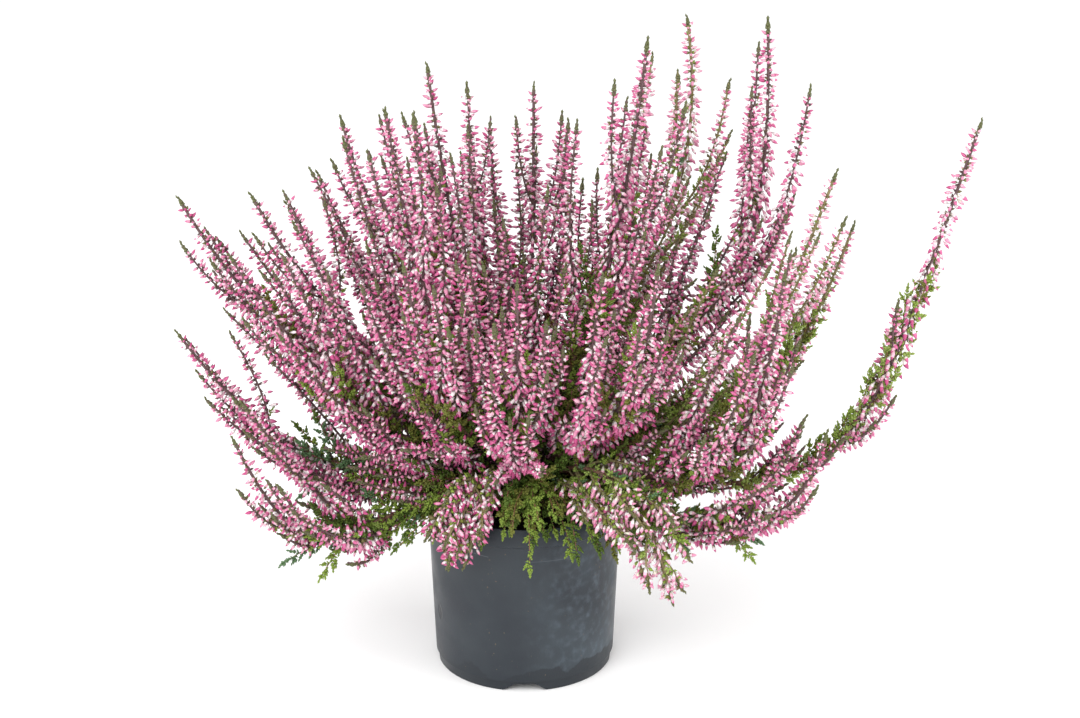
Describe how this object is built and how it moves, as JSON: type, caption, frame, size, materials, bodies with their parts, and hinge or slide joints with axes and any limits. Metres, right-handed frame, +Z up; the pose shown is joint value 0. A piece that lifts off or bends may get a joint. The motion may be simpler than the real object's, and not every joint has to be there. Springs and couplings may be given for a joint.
{
  "type": "potted heather",
  "caption": "Bushy heather in full bloom: upright spikes of pink and white buds on woody stems, growing from a plain round nursery pot.",
  "frame": {"origin": "middle of the pad under the pot, on the ground", "axes": "+Z up; -Y towards the viewer of the picture; +X to the viewer's right, the side of the longest shoot"},
  "size_m": [0.4347, 0.2635, 0.368],
  "materials": {
    "pot_plastic": "satin, water-stained",
    "compost": "moist and crumbly",
    "bark": "thin woody bark",
    "blossom": "papery buds, pink to white",
    "foliage": "small matte leaves"
  },
  "bodies": {
    "root": {"bough_back_left": "bark", "bough_back_left_low": "bark", "bough_back_right": "bark", "bough_back_right_low": "bark", "bough_centre_back": "bark", "bough_front_left": "bark", "bough_front_left_up": "bark", "bough_front_middle": "bark", "bough_front_right_low": "bark", "bough_front_right_up": "bark", "bough_left_back": "bark", "bough_left_far": "bark", "bough_left_front": "bark", "bough_left_high": "bark", "bough_left_low": "bark", "bough_left_sag": "bark", "bough_right_back": "bark", "bough_right_far": "bark", "bough_right_high": "bark", "bough_right_middle": "bark", "bough_right_skirt": "bark", "bough_top_back": "bark", "bough_top_far_right": "bark", "bough_top_left": "bark", "bough_top_right": "bark", "bough_upper_left": "bark", "compost": "compost", "pot": "pot_plastic", "spray_back_left": "blossom", "spray_back_left_low": "blossom", "spray_back_right": "blossom", "spray_back_right_low": "blossom", "spray_centre_back": "blossom", "spray_front_left": "blossom", "spray_front_left_up": "blossom", "spray_front_middle": "blossom", "spray_front_right_low": "blossom", "spray_front_right_up": "blossom", "spray_left_back": "blossom", "spray_left_far": "blossom", "spray_left_front": "blossom", "spray_left_high": "blossom", "spray_left_low": "blossom", "spray_left_sag": "blossom", "spray_right_back": "blossom", "spray_right_far": "blossom", "spray_right_high": "blossom", "spray_right_middle": "blossom", "spray_right_skirt": "blossom", "spray_skirt_back_left": "foliage", "spray_skirt_back_right": "foliage", "spray_skirt_front": "foliage", "spray_skirt_left": "foliage", "spray_skirt_right": "foliage", "spray_top_back": "blossom", "spray_top_far_right": "blossom", "spray_top_left": "blossom", "spray_top_right": "blossom", "spray_upper_left": "blossom", "stem": "bark"}
  },
  "joints": []
}
